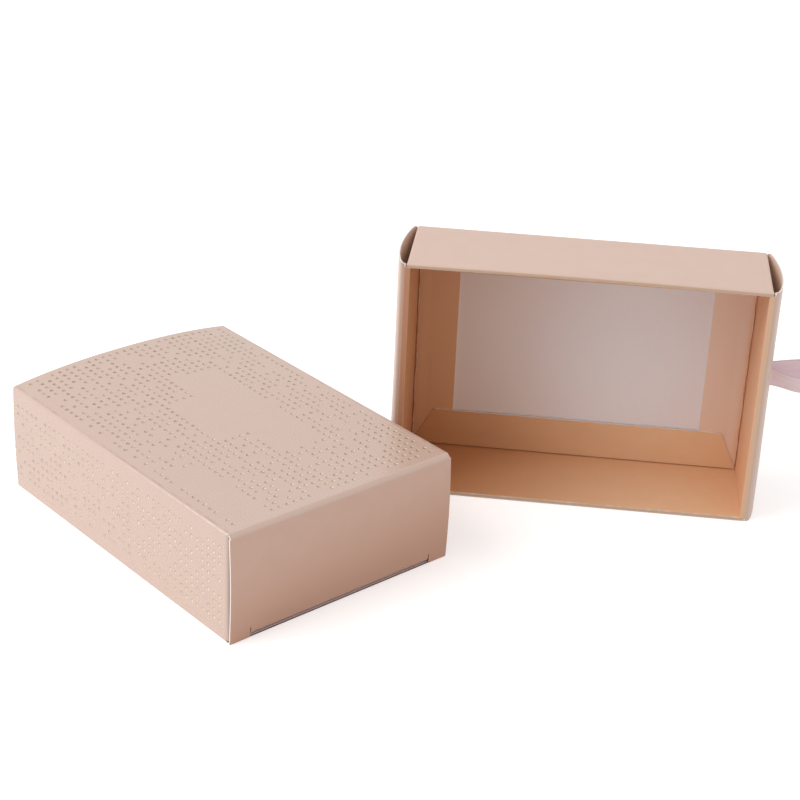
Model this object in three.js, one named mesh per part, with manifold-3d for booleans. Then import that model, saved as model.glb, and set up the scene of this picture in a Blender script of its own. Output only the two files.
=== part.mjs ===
import * as THREE from 'three';
import Module from 'manifold-3d';
import { mergeVertices } from 'three/addons/utils/BufferGeometryUtils.js';

// A drawer-style gift box folded from two blanks of printed card: a sleeve that is closed at one
// end by a tucked flap, and a tray with double walls that is pulled out of it by a satin ribbon.
// The sleeve lies flat and the tray, taken out, stands on one long wall beside it.
// Millimetres. +Z is up, +X runs along the tray towards its ribbon, and the origin is the middle
// of the sleeve's underside.

const wasm = await Module();
wasm.setup();

// Card and the gaps that folding leaves
const card = 0.6;
const crease = 0.3;
const curveSteps = 16;
const overrun = 1;

// Sleeve
const sleeveLength = 150;
const sleeveWidth = 106;
const sleeveHeight = 46;
const sleeveTurn = THREE.MathUtils.degToRad(47);
const mouthBow = 3.7;
const bowFade = 1.5;
const bowFullness = 2.3;
const glueFlapWidth = 13;
const glueFlapTaper = 4;
const glueFlapSetback = 5;

// Closed end of the sleeve
const tabReach = 15;
const tabLift = 2.7;
const tabInset = 9.5;
const tabCorner = 5;
const tabNotch = 1.6;
const dustReach = 30;
const dustFloorGap = 5.2;
const dustTaper = 4;

// Tray: its walls are a skin outside, a rim, a skin inside and a flap glued down on the floor
const traySidePlay = 0.4;
const trayTopPlay = 0.3;
const trayEndPlay = 1.3;
const longWallGap = 0.6;
const tabGap = 0.3;
const endBulge = 4.5;
const endFlapWidth = 17.4;
const endFlapTaper = 3;
const longFlapWidth = 17;
const longFlapSlant = 9.5;
const cornerTabLength = 24;
const cornerTabTaper = 3;

// Where the tray stands: how far its nearest corner is from the sleeve's side, and how far
// towards the closed end that corner lies from the sleeve's middle
const trayStandoff = 15.5;
const trayBehind = 18.5;

// Ribbon
const ribbonWidth = 10;
const ribbonThickness = 0.5;
const ribbonReach = 42;
const loopHalfWidth = 7.5;
const loopFullness = 1.2;
const loopStem = 4;
const slotDepth = 7;
const slotPlay = 0.5;
const rootGap = 0.7;
const tailLength = 16;

// Sizes that follow
const trayLength = sleeveLength - 2 * card - trayEndPlay;
const trayWidth = sleeveWidth - 3 * card - 2 * traySidePlay;
const trayDepth = sleeveHeight - 2 * card - 2 * trayTopPlay;
const longWall = 2 * card + longWallGap;
const endWall = 3 * card + 2 * tabGap;
const longRimRadius = longWall / 2;
const endRimRadius = endWall / 2;
const cornerInset = card + tabGap;

const finishes = {
  outside: new THREE.MeshStandardMaterial({ color: 0xdcc0b2, roughness: 0.55, metalness: 0 }),
  inside: new THREE.MeshStandardMaterial({ color: 0xc69a72, roughness: 0.6, metalness: 0 }),
  back: new THREE.MeshStandardMaterial({ color: 0xe9e2de, roughness: 0.8, metalness: 0 }),
  ribbon: new THREE.MeshStandardMaterial({ color: 0xd9bfc4, roughness: 0.4, metalness: 0 }),
};

const sleeve = new THREE.Group();
sleeve.rotation.z = sleeveTurn;
const tray = new THREE.Group();
const box = new THREE.Group();
box.add(sleeve, tray);

// A piece of card or ribbon with its name and finish, put in one of the two halves
function piece(group, name, finish, geometry) {
  const mesh = new THREE.Mesh(geometry, finishes[finish]);
  mesh.name = name;
  group.add(mesh);
  return mesh;
}

// A flat panel between two opposite corners
function panel(low, high) {
  const size = high.map((value, i) => value - low[i]);
  const geometry = new THREE.BoxGeometry(...size);
  geometry.translate(...low.map((value, i) => value + size[i] / 2));
  return geometry;
}

function shapeOf(points) {
  return new THREE.Shape(points.map(([x, y]) => new THREE.Vector2(x, y)));
}

// An outline in X and Y, drawn up along Z between two heights
function upright(shape, bottom, top) {
  const geometry = new THREE.ExtrudeGeometry(shape, { depth: top - bottom, bevelEnabled: false });
  geometry.translate(0, 0, bottom);
  return geometry;
}

// An outline in X and Z, one card thick, whose back lies at y = back
function facing(points, back) {
  const geometry = new THREE.ExtrudeGeometry(shapeOf(points), { depth: card, bevelEnabled: false });
  geometry.rotateX(Math.PI / 2);
  geometry.translate(0, back, 0);
  return geometry;
}

// An outline in Y and Z, drawn along X between two places
function lengthwise(points, from, to) {
  const geometry = new THREE.ExtrudeGeometry(shapeOf(points), { depth: to - from, bevelEnabled: false });
  geometry.rotateX(Math.PI / 2);
  geometry.rotateZ(Math.PI / 2);
  geometry.translate(from, 0, 0);
  return geometry;
}

// A closed mesh as a solid for a cut
function solidOf(geometry) {
  const bare = geometry.clone();
  bare.deleteAttribute('normal');
  bare.deleteAttribute('uv');
  const merged = mergeVertices(bare);
  return new wasm.Manifold(new wasm.Mesh({
    numProp: 3,
    vertProperties: new Float32Array(merged.attributes.position.array),
    triVerts: new Uint32Array(merged.index.array),
  }));
}

function cut(geometry, tool) {
  const result = solidOf(geometry).subtract(solidOf(tool)).getMesh();
  const out = new THREE.BufferGeometry();
  out.setAttribute('position', new THREE.BufferAttribute(new Float32Array(result.vertProperties), 3));
  out.setIndex(new THREE.BufferAttribute(new Uint32Array(result.triVerts), 1));
  out.computeVertexNormals();
  return out;
}

// How far the top panel rises at a share of the width and of the length from the closed end
function bowAt(across, along) {
  const arch = 1 - Math.abs(2 * across - 1) ** bowFullness;
  return mouthBow * arch * along ** bowFade;
}

// The top panel springs up at the mouth, where nothing holds it down
function bowedTop() {
  const positions = [];
  const index = [];
  const row = curveSteps + 1;
  for (const bottom of [0, card]) {
    for (let j = 0; j <= curveSteps; j += 1) {
      for (let i = 0; i <= curveSteps; i += 1) {
        const across = i / curveSteps;
        const along = j / curveSteps;
        const rise = bowAt(across, along);
        positions.push(
          (across - 0.5) * sleeveWidth,
          (along - 0.5) * sleeveLength,
          sleeveHeight - bottom + rise,
        );
      }
    }
  }
  const under = row * row;
  const quad = (a, b, c, d) => index.push(a, b, c, a, c, d);
  for (let j = 0; j < curveSteps; j += 1) {
    for (let i = 0; i < curveSteps; i += 1) {
      const a = j * row + i;
      quad(a, a + 1, a + row + 1, a + row);
      quad(under + a, under + a + row, under + a + row + 1, under + a + 1);
    }
  }
  for (let k = 0; k < curveSteps; k += 1) {
    const near = k;
    const far = curveSteps * row + k;
    const left = k * row;
    const right = k * row + curveSteps;
    quad(under + near, under + near + 1, near + 1, near);
    quad(far, far + 1, under + far + 1, under + far);
    quad(under + left + row, under + left, left, left + row);
    quad(right + row, right, under + right, under + right + row);
  }
  const geometry = new THREE.BufferGeometry();
  geometry.setAttribute('position', new THREE.Float32BufferAttribute(positions, 3));
  geometry.setIndex(index);
  geometry.computeVertexNormals();
  return geometry;
}

// Sleeve: four panels round the tray, with a strip glued inside the right side
const halfWidth = sleeveWidth / 2;
const halfLength = sleeveLength / 2;
const sideBottom = card + crease;
const sideTop = sleeveHeight - card - crease;
const closedEnd = -halfLength + card + crease;

piece(sleeve, 'sleeve_top', 'outside', bowedTop());
piece(sleeve, 'sleeve_bottom', 'outside', panel([-halfWidth, closedEnd, 0], [halfWidth, halfLength, card]));
piece(sleeve, 'sleeve_left_side', 'outside', panel(
  [-halfWidth, closedEnd, sideBottom],
  [-halfWidth + card, halfLength, sideTop],
));
piece(sleeve, 'sleeve_right_side', 'outside', panel(
  [halfWidth - card, closedEnd, sideBottom],
  [halfWidth, halfLength, sideTop],
));

const glueFace = halfWidth - card - crease;
const glueStart = closedEnd + glueFlapSetback;
const glueFlap = lengthwise([
  [glueStart, sideBottom],
  [halfLength, sideBottom],
  [halfLength - glueFlapTaper, sideBottom + glueFlapWidth],
  [glueStart + glueFlapTaper, sideBottom + glueFlapWidth],
], glueFace - card, glueFace);
piece(sleeve, 'sleeve_glue_flap', 'back', glueFlap);

// Closed end: the flap hangs from the top panel, and its tab is tucked in over the bottom panel
const flapSide = halfWidth - crease;
const tabSide = halfWidth - tabInset;
const endFlap = facing([
  [-flapSide, 0],
  [-tabSide, 0],
  [-tabSide, tabNotch],
  [tabSide, tabNotch],
  [tabSide, 0],
  [flapSide, 0],
  [flapSide, sideTop],
  [-flapSide, sideTop],
], -halfLength + card);
piece(sleeve, 'end_flap', 'outside', endFlap);

// The tab slopes up a little from its fold, as sprung card does
function tuckTab() {
  const tip = tabSide - tabCorner;
  const fold = -halfLength + card + crease;
  const outline = shapeOf([
    [-tabSide, 0],
    [tabSide, 0],
    [tabSide, tabReach - tabCorner],
    [tip, tabReach],
    [-tip, tabReach],
    [-tabSide, tabReach - tabCorner],
  ]);
  const geometry = upright(outline, 0, card);
  geometry.rotateX(Math.atan2(tabLift, tabReach));
  geometry.translate(0, fold, sideBottom);
  return geometry;
}
piece(sleeve, 'tuck_tab', 'outside', tuckTab());

// The two dust flaps turn in from the sides behind the end flap
for (const [name, side] of [['left', -1], ['right', 1]]) {
  const root = side * (halfWidth - card - crease);
  const tip = root - side * dustReach;
  const corners = [
    [root, dustFloorGap],
    [tip, dustFloorGap + dustTaper],
    [tip, sideTop - dustTaper],
    [root, sideTop - crease],
  ];
  piece(sleeve, `dust_flap_${name}`, 'back', facing(corners, closedEnd + card));
}

// Tray floor
piece(tray, 'tray_floor', 'back', panel([0, -card, 0], [trayLength, 0, trayWidth]));

// A rim is creased so tight that its fold of half a turn is solid across
function halfTurn(radius) {
  const points = [];
  for (let i = 0; i <= curveSteps; i += 1) {
    const angle = Math.PI * (i / curveSteps);
    points.push([radius * Math.cos(angle), -radius * Math.sin(angle)]);
  }
  return points;
}

// Long walls: the tray stands on the lower one
for (const [name, upper] of [['lower', false], ['upper', true]]) {
  const height = (distance) => (upper ? trayWidth - distance : distance);
  const span = (a, b) => [height(a), height(b)].sort((p, q) => p - q);
  const wallEnd = trayLength - cornerInset;
  const foldBack = -trayDepth + longRimRadius;

  const [skinLow, skinHigh] = span(0, card);
  piece(tray, `${name}_wall_outer`, 'outside', panel(
    [cornerInset, foldBack, skinLow],
    [wallEnd, -card, skinHigh],
  ));

  const rim = halfTurn(longRimRadius).map(([z, y]) => [foldBack + y, height(longRimRadius + z)]);
  piece(tray, `${name}_wall_rim`, 'outside', lengthwise(rim, cornerInset, wallEnd));

  const [innerLow, innerHigh] = span(longWall - card, longWall);
  piece(tray, `${name}_wall_inner`, 'inside', panel(
    [endWall, foldBack, innerLow],
    [trayLength - endWall, -2 * card, innerHigh],
  ));

  const flap = [
    [endWall, height(longWall)],
    [trayLength - endWall, height(longWall)],
    [trayLength - endWall - longFlapSlant, height(longWall + longFlapWidth)],
    [endWall + longFlapSlant, height(longWall + longFlapWidth)],
  ];
  piece(tray, `${name}_floor_flap`, 'inside', facing(flap, -2 * card));
}

// How far an end wall's outer skin stands out at a distance in front of the floor
const skinFoot = card;
const skinTop = trayDepth - endRimRadius;
function bulgeAt(distance) {
  return endBulge * Math.sin(Math.PI * ((distance - skinFoot) / (skinTop - skinFoot)));
}

function endSkin(place) {
  const outer = [];
  const inner = [];
  for (let i = 0; i <= curveSteps; i += 1) {
    const distance = skinFoot + (skinTop - skinFoot) * (i / curveSteps);
    const out = bulgeAt(distance);
    outer.push([place(-out), -distance]);
    inner.unshift([place(card - out), -distance]);
  }
  return shapeOf([...outer, ...inner]);
}

// End walls: the outer skin bulges out, because nothing holds it at the two corners
const slotHalf = ribbonThickness + slotPlay;
const ribbonMiddle = trayWidth / 2;
const ribbonLow = ribbonMiddle - ribbonWidth / 2;
const ribbonHigh = ribbonMiddle + ribbonWidth / 2;
for (const [name, right] of [['left', false], ['right', true]]) {
  const place = (distance) => (right ? trayLength - distance : distance);
  const span = (a, b) => [place(a), place(b)].sort((p, q) => p - q);

  let skin = upright(endSkin(place), 0, trayWidth);
  if (right) {
    const slot = panel(
      [trayLength - card - overrun, -slotDepth - slotHalf, ribbonLow - slotPlay],
      [trayLength + endBulge + overrun, -slotDepth + slotHalf, ribbonHigh + slotPlay],
    );
    skin = cut(skin, slot);
  }
  piece(tray, `${name}_end_outer`, 'outside', skin);

  const rim = halfTurn(endRimRadius).map(([x, y]) => [place(endRimRadius + x), y - skinTop]);
  piece(tray, `${name}_end_rim`, 'outside', upright(shapeOf(rim), longWall, trayWidth - longWall));

  const [innerLow, innerHigh] = span(endWall - card, endWall);
  piece(tray, `${name}_end_inner`, 'inside', panel(
    [innerLow, -skinTop, card],
    [innerHigh, -card, trayWidth - card],
  ));

  const flap = [
    [place(endWall), longWall],
    [place(endWall + endFlapWidth), longWall + endFlapTaper],
    [place(endWall + endFlapWidth), trayWidth - longWall - endFlapTaper],
    [place(endWall), trayWidth - longWall],
  ];
  piece(tray, `${name}_floor_flap`, 'inside', facing(flap, -card));

  // Tabs on the long walls' ends are caught between the two skins
  for (const [level, upper] of [['lower', false], ['upper', true]]) {
    const height = (distance) => (upper ? trayWidth - distance : distance);
    const [tabLow, tabHigh] = span(cornerInset, cornerInset + card);
    const tab = [
      [-trayDepth + endRimRadius + longRimRadius, height(card)],
      [-2 * card, height(card)],
      [-2 * card - cornerTabTaper, height(card + cornerTabLength)],
      [-trayDepth + endRimRadius + longRimRadius + cornerTabTaper, height(card + cornerTabLength)],
    ];
    piece(tray, `${level}_${name}_corner_tab`, 'back', lengthwise(tab, tabLow, tabHigh));
  }
}

// Ribbon: its two ends lie flat behind the outer skin and come out together through the slot
const slotSkin = trayLength + bulgeAt(slotDepth);
const tailBack = trayLength - endWall + card + crease;
const tailFront = tailBack + 2 * ribbonThickness;
const tails = shapeOf([
  [tailBack, -slotDepth - tailLength],
  [tailFront, -slotDepth - tailLength],
  [tailFront, -slotDepth - ribbonThickness],
  [slotSkin, -slotDepth - ribbonThickness],
  [slotSkin, -slotDepth + ribbonThickness],
  [tailBack, -slotDepth + ribbonThickness],
]);
piece(tray, 'ribbon_tails', 'ribbon', upright(tails, ribbonLow, ribbonHigh));

// One side of the loop as it leaves its root, to a given depth below its outer face
function loopSide(depth) {
  const points = [];
  const step = 0.001;
  const edge = (turn) => [
    ribbonReach * ((1 - Math.cos(Math.PI * turn)) / 2),
    ribbonThickness * Math.cos((Math.PI * turn) / 2) ** 2
      + loopHalfWidth * Math.sin(Math.PI * turn) * Math.sin((Math.PI * turn) / 2) ** loopFullness,
  ];
  for (let i = 0; i <= curveSteps; i += 1) {
    const turn = i / curveSteps;
    const [x, y] = edge(turn);
    const [x0, y0] = edge(Math.max(turn - step, 0));
    const [x1, y1] = edge(Math.min(turn + step, 1));
    const size = Math.hypot(x1 - x0, y1 - y0);
    const point = [x + (depth * (y1 - y0)) / size, y - (depth * (x1 - x0)) / size];
    if (depth === 0 || (point[0] > loopStem && i < curveSteps)) {
      points.push(point);
    }
  }
  return points;
}

function ringOf(side, start, end) {
  const mirrored = side.map(([x, y]) => [x, -y]).reverse();
  return [...start, ...side, ...end, ...mirrored.filter(([x]) => x < ribbonReach)];
}

function ribbonLoop() {
  const outline = shapeOf(ringOf(loopSide(0), [], []));
  const hollow = shapeOf(ringOf(loopSide(ribbonThickness), [[loopStem, 0]], [[ribbonReach - ribbonThickness, 0]]));
  return cut(upright(outline, 0, ribbonWidth), upright(hollow, -overrun, ribbonWidth + overrun));
}
const loop = piece(tray, 'ribbon_loop', 'ribbon', ribbonLoop());
loop.position.set(slotSkin + rootGap, -slotDepth, ribbonLow);

// The tray's nearest corner is its left end at the rim
const nearX = halfWidth + trayStandoff;
const nearCorner = new THREE.Vector2(nearX, -trayBehind).rotateAround(new THREE.Vector2(0, 0), sleeveTurn);
tray.position.set(nearCorner.x + endBulge, nearCorner.y + trayDepth, 0);

export default box;
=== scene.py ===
# %% [markdown]
# # A drawer gift box of folded card
# The real object is two folded blanks of printed card and a loop of satin ribbon. A sleeve
# lies flat, closed at one end by a tucked flap, and a tray with double walls stands on one long
# side next to it. This lesson dresses a plain CAD model: every panel of the CAD is replaced by
# a thin sheet that is folded the way a box maker folds it, with round creases, a printed side,
# a white back and a raw cut edge.
#
# The first cell loads the CAD model. Nothing in it may move, so its sizes are the truth that
# every sheet is drawn against.

import math

import bmesh
import bpy
import numpy as np
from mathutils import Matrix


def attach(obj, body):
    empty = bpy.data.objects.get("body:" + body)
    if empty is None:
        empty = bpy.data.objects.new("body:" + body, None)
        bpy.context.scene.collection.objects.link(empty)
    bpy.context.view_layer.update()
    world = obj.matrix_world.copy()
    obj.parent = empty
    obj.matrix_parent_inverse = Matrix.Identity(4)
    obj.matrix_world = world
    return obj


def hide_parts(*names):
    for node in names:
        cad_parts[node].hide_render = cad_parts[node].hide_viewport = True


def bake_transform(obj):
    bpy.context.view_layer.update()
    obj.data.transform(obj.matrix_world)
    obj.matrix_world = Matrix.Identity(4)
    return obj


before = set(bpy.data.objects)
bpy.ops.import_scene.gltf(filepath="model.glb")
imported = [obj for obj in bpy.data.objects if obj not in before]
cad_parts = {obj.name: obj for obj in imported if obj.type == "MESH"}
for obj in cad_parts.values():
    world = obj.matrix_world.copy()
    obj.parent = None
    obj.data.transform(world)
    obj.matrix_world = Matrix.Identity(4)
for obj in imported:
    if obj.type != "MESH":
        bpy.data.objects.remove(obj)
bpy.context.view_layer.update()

# %% [markdown]
# ## The camera
# A camera can be found from a photograph by hand, by moving it until the edges line up, or by
# least squares on a few corners whose real places are known. The second is exact and quick, so
# the numbers below come from twelve corners of the two halves. A lens of 85 mm is what a product
# photographer would choose: it keeps the box from looking stretched.

# %% Camera
photo_lens = 85.03
film_width = 36
camera_place = (0.12976, -0.66139, 0.38796)
camera_turn = (63.785, -2.308, 6.396)


def put(name, data):
    """A new object in the scene."""
    made = bpy.data.objects.new(name, data)
    bpy.context.scene.collection.objects.link(made)
    return made


camera_data = bpy.data.cameras.new("photo_camera")
camera_data.sensor_width = film_width
camera_data.lens = photo_lens
camera = put("photo_camera", camera_data)
camera.location = camera_place
camera.rotation_euler = [math.radians(angle) for angle in camera_turn]
bpy.context.scene.camera = camera
print("camera stands", round(camera.location.length, 3), "m from the sleeve's middle")

# %% [markdown]
# ## Sizes
# These are the CAD model's own sizes, in millimetres. Working in millimetres keeps the numbers
# readable for a box maker, and one factor turns them into Blender's metres at the very end.

# %% Sizes in millimetres
MM = 0.001
card = 0.6
fold_radius = 0.9

sleeve_length = 150
sleeve_width = 106
sleeve_height = 46
sleeve_turn = math.radians(47)
mouth_bow = 3.7
bow_fade = 1.5
bow_fullness = 2.3

tray_length = 147.5
tray_width = 103.4
tray_depth = 44.2
tray_place = np.array([64.747, 81.681, 0])
long_wall = 1.8
end_wall = 2.4
end_bulge = 4.5

# %% [markdown]
# ## Paths that fold
# A folded sheet is the same all along its crease, so its shape is a line seen from the side: run
# straight, turn round a small radius, run straight again. A tiny "turtle" draws that line. It
# also keeps the length that it has walked, because printing and grain belong to the flat blank
# and not to the folded box.

# %% A turtle for folds
def fold_path(start, heading, steps):
    """Points of a folded line. A step is ("run", length, pieces) or ("turn", degrees, radius)."""
    points = [np.array(start, float)]
    direction = math.radians(heading)
    for kind, amount, detail in steps:
        if kind == "run":
            ahead = np.array([math.cos(direction), math.sin(direction)])
            for k in range(detail):
                points.append(points[-1] + ahead * amount / detail)
            continue
        pieces = cells_of((kind, amount, detail))
        turn = math.radians(amount) / pieces
        chord = 2 * detail * math.sin(abs(turn) / 2)
        for k in range(pieces):
            direction += turn / 2
            points.append(points[-1] + chord * np.array([math.cos(direction), math.sin(direction)]))
            direction += turn / 2
    return np.array(points)


def cells_of(step):
    """How many pieces fold_path makes of a step. A turn has one for every 15 degrees or so."""
    kind, amount, detail = step
    return detail if kind == "run" else max(2, round(abs(amount) / 15))


quarter_turn = cells_of(("turn", 90, fold_radius))


def walked(points):
    """Length walked along a line up to each of its points."""
    steps = np.linalg.norm(np.diff(points, axis=0), axis=1)
    return np.concatenate([[0], np.cumsum(steps)])


def unit(vectors):
    return vectors / np.linalg.norm(vectors, axis=1)[:, None]


def left_of(points):
    """Unit vector to the left of a line at each of its points, long enough to keep corners true."""
    steps = unit(np.diff(points, axis=0))
    sides = np.stack([-steps[:, 1], steps[:, 0]], 1)
    before = np.vstack([sides[:1], sides])
    after = np.vstack([sides, sides[-1:]])
    middle = unit(before + after)
    return middle / np.sum(middle * before, axis=1)[:, None].clip(0.5, 1)

# %% [markdown]
# ## From a path to a sheet of card
# Blender's Solidify modifier could thicken a surface, but then the cut edges could not carry
# their own material. So the mesh is built by hand from two grids of points, the printed side and
# the white back, one card apart. Wherever a cell of the grid ends, a strip of raw cut edge closes
# the gap. A cell can also be left out, and that gives a slot or a notch.

# %% Build a sheet of card
PRINT, BACK, CUT, SHADED_CUT = range(4)
NO_DOTS = (-9, -9)
touching = 1e-7


def card_mesh(name, front, back, flat, cells=None, dots=None):
    """A mesh from two grids of points in mm. Its UV map is the flat blank, in metres."""
    rows, columns = front.shape[:2]
    if cells is None:
        cells = np.ones((rows - 1, columns - 1), bool)
    mesh = bmesh.new()
    blank_map = mesh.loops.layers.uv.new("blank")
    foil_map = mesh.loops.layers.uv.new("foil")
    grids = [[[mesh.verts.new(point * MM) for point in row] for row in grid] for grid in (front, back)]

    def face(corners, material):
        made = mesh.faces.new([grids[side][i][j] for side, i, j in corners])
        made.material_index = material
        made.smooth = True
        for loop, (side, i, j) in zip(made.loops, corners):
            loop[blank_map].uv = flat[i, j] * MM
            loop[foil_map].uv = NO_DOTS
        return made

    for i, j in zip(*np.nonzero(cells)):
        ring = [(i, j), (i, j + 1), (i + 1, j + 1), (i + 1, j)]
        printed = face([(0, *corner) for corner in ring], PRINT)
        if dots is not None:
            for loop, place in zip(printed.loops, dots(i, ring)):
                loop[foil_map].uv = place
        face([(1, *corner) for corner in reversed(ring)], BACK)
        beyond = [(i - 1, j), (i, j + 1), (i + 1, j), (i, j - 1)]
        for side, (a, b) in enumerate(beyond):
            if 0 <= a < rows - 1 and 0 <= b < columns - 1 and cells[a, b]:
                continue
            start, end = ring[side], ring[(side + 1) % 4]
            face([(0, *end), (0, *start), (1, *start), (1, *end)], CUT)
    bmesh.ops.remove_doubles(mesh, verts=mesh.verts, dist=touching)
    loose = [vertex for vertex in mesh.verts if not vertex.link_faces]
    bmesh.ops.delete(mesh, geom=loose, context="VERTS")
    bmesh.ops.recalc_face_normals(mesh, faces=mesh.faces)
    for edge in mesh.edges:
        edge.smooth = len({linked.material_index for linked in edge.link_faces}) == 1
    data = bpy.data.meshes.new(name)
    mesh.to_mesh(data)
    mesh.free()
    return data


def folded(name, path, beside, place, reshape=None, cells=None, dots=None):
    """A sheet folded along a path, printed on the path's right. beside(k) lists where its points
    lie along the crease at the path's point k, and place puts a point into the frame."""
    walk = walked(path)
    under = path + left_of(path) * card
    front, back, flat = [], [], []
    for k, (top, low) in enumerate(zip(path, under)):
        places = beside(k)
        front.append([(top[0], top[1], value) for value in places])
        back.append([(low[0], low[1], value) for value in places])
        flat.append([(value, walk[k]) for value in places])
    front, back, flat = (np.array(part, float) for part in (front, back, flat))
    if reshape is not None:
        front, back = reshape(front), reshape(back)
    return put(name, card_mesh(name, place(front), place(back), flat, cells, dots))


def blended(value, low, high):
    """0 below low, 1 above high, and a soft step between."""
    share = np.clip((value - low) / (high - low), 0, 1)
    return share * share * (3 - 2 * share)

# %% [markdown]
# ## Two sets of axes
# The sleeve is turned on the table and the tray is not, so each half is drawn square to its own
# axes and placed at the end. A path's point has two numbers and the place along the crease is a
# third, and these small functions say which of them is which.

# %% Axes of the two halves
def parts(points):
    """The three numbers of every point, as three arrays."""
    return np.moveaxis(points, -1, 0)


def in_sleeve(x, y, z):
    """Turns the sleeve's own axes into the frame's, in mm."""
    c, s = math.cos(sleeve_turn), math.sin(sleeve_turn)
    return np.stack([c * x - s * y, s * x + c * y, z], -1)


def in_tray(x, depth, z):
    """Puts the tray's own axes into the frame. Depth grows from the floor towards the rims."""
    return np.stack([x, -depth, z], -1) + tray_place

# %% [markdown]
# ## The sleeve
# The sleeve is one strip that goes round four corners: right side, top, left side, bottom, and a
# narrow strip that is glued up inside the right side. The top springs up at the open mouth,
# where nothing holds it down. The foil dots are printed on a square grid, so the sheet also
# carries a map in which one dot is one unit.

# %% Sleeve strip
half_width = sleeve_width / 2
half_length = sleeve_length / 2
side_foot = 5.4
side_rest = sleeve_height - fold_radius - side_foot
start_height = 0.3
glue_flap = 13
glue_setback = 5
glue_inset = 0.9
glue_taper = 2
tab_side = half_width - 9.5
cut_strip = 0.4
beside_tab = 0.3
bottom_corner = half_width - fold_radius - tab_side - beside_tab

rim_of_fold = ("run", 1.8, 1)
score_angle, score_radius = 8, 2.0
score = [("turn", share * score_angle, score_radius) for share in (1, -2, 1)]
score_width = 4 * score_radius * math.sin(math.radians(score_angle))
top_margins = (0.5, 1.0)
top_flat = sleeve_width - 2 * (fold_radius + rim_of_fold[1] + score_width) - sum(top_margins)
sleeve_steps = [
    ("run", side_foot - start_height, 1),
    ("run", side_rest, 6),
    ("turn", 90, fold_radius),
    rim_of_fold,
    *score,
    ("run", top_margins[0], 1),
    ("run", top_flat, 26),
    ("run", top_margins[1], 1),
    *score,
    rim_of_fold,
    ("turn", 90, fold_radius),
    ("run", side_rest, 6),
    ("run", side_foot - fold_radius, 1),
    ("turn", 90, fold_radius),
    ("run", bottom_corner, 1),
    ("run", cut_strip, 1),
    ("run", 2 * (tab_side + beside_tab - cut_strip), 8),
    ("run", cut_strip, 1),
    ("run", bottom_corner - glue_inset, 1),
    ("turn", 90, fold_radius),
    ("run", glue_flap, 2),
]
sleeve_path = fold_path((half_width, start_height), 90, sleeve_steps)
first_cell = np.concatenate([[0], np.cumsum([cells_of(step) for step in sleeve_steps])])
glue_start = first_cell[-2]

# Which of the steps these are.
RIGHT_SIDE, RIGHT_FOLD, TOP, LEFT_FOLD, LEFT_SIDE = 1, 2, 8, 14, 15
right_side, top_cells, left_side = (
    range(first_cell[step], first_cell[step + 1]) for step in (RIGHT_SIDE, TOP, LEFT_SIDE)
)

# %% [markdown]
# The end of the strip isn't straight. The side panels stop early, because the dust flaps turn in
# there, and the bottom panel reaches forward between the two ears of the end flap.

# %% Ends of the strip
crease_band = [("turn", 40, 1.0), ("run", 1.3, 1), ("turn", 50, 1.0)]
band_reach = -fold_path((0, 0), 180, crease_band)[-1]
dust_radius = 1.9
dust_face = -half_length + 0.9
side_start = dust_face + dust_radius
top_start = -half_length + band_reach[0]
bottom_start = -half_length + 0.9
bottom_lip = -half_length + 0.2
last_dot_row = -70.3
sleeve_columns = 24
near = 0.01


def sleeve_beside(k):
    """Where the strip's points lie along its creases: the ends differ from panel to panel."""
    x, z = sleeve_path[k]
    if k >= glue_start:
        taper = glue_taper * (k - glue_start)
        start = -half_length + fold_radius + glue_setback + taper
        return np.linspace(start, half_length - taper, sleeve_columns)
    if z < near:
        start = bottom_lip if abs(x) < tab_side else bottom_start
    elif abs(x) > half_width - near:
        start = side_start
    elif z < sleeve_height / 2:
        start = (side_start + bottom_start) / 2
    else:
        start = top_start
    return np.concatenate([[start], np.linspace(last_dot_row, half_length, sleeve_columns - 1)])


side_swell = 0.45


def spring_open(points):
    """Lets the top rise and the sides swell towards the mouth."""
    x, z, y = parts(points.copy())
    along = np.clip((y + half_length) / sleeve_length, 0, 1)
    across = np.clip(np.abs(x) / half_width, 0, 1)
    rise = mouth_bow * (1 - across ** bow_fullness) * along ** bow_fade
    points[..., 1] += rise * blended(z, sleeve_height - card - 1, sleeve_height - card)
    swell = side_swell * np.sin(math.pi * np.clip(z / sleeve_height, 0, 1)) * along ** 2
    points[..., 0] += np.sign(x) * swell * blended(across, 0.97, 1)
    return points


dot_pitch = 3.5
dot_rows = 42
side_rows = 100
top_first_dot = (6.3, 3.6)
side_first_dot = (7.3, 3.9)


def sleeve_dots(k, ring):
    """Where the corners of a cell lie on the grid of foil dots, counted from its first dot, which
    lies so far in from the crease and from the mouth."""
    places = []
    on_side = k in left_side or k in right_side
    for i, j in ring:
        x, z = sleeve_path[i]
        y = sleeve_beside(i)[j]
        if ring[0][1] == 0 or not (on_side or k in top_cells):
            places.append(NO_DOTS)
            continue
        inward, first = (sleeve_height - z, side_first_dot) if on_side else (x + half_width, top_first_dot)
        row = (half_length - y - first[1]) / dot_pitch
        places.append(((inward - first[0]) / dot_pitch, row + (side_rows if on_side else 0)))
    return places


def across_sleeve(points):
    x, z, y = parts(points)
    return in_sleeve(x, y, z)


sleeve_strip = folded(
    "sleeve_strip", sleeve_path, sleeve_beside, across_sleeve, spring_open, dots=sleeve_dots
)
print("sleeve blank is", round(walked(sleeve_path)[-1], 1), "mm wide,", len(sleeve_path), "points")
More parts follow.
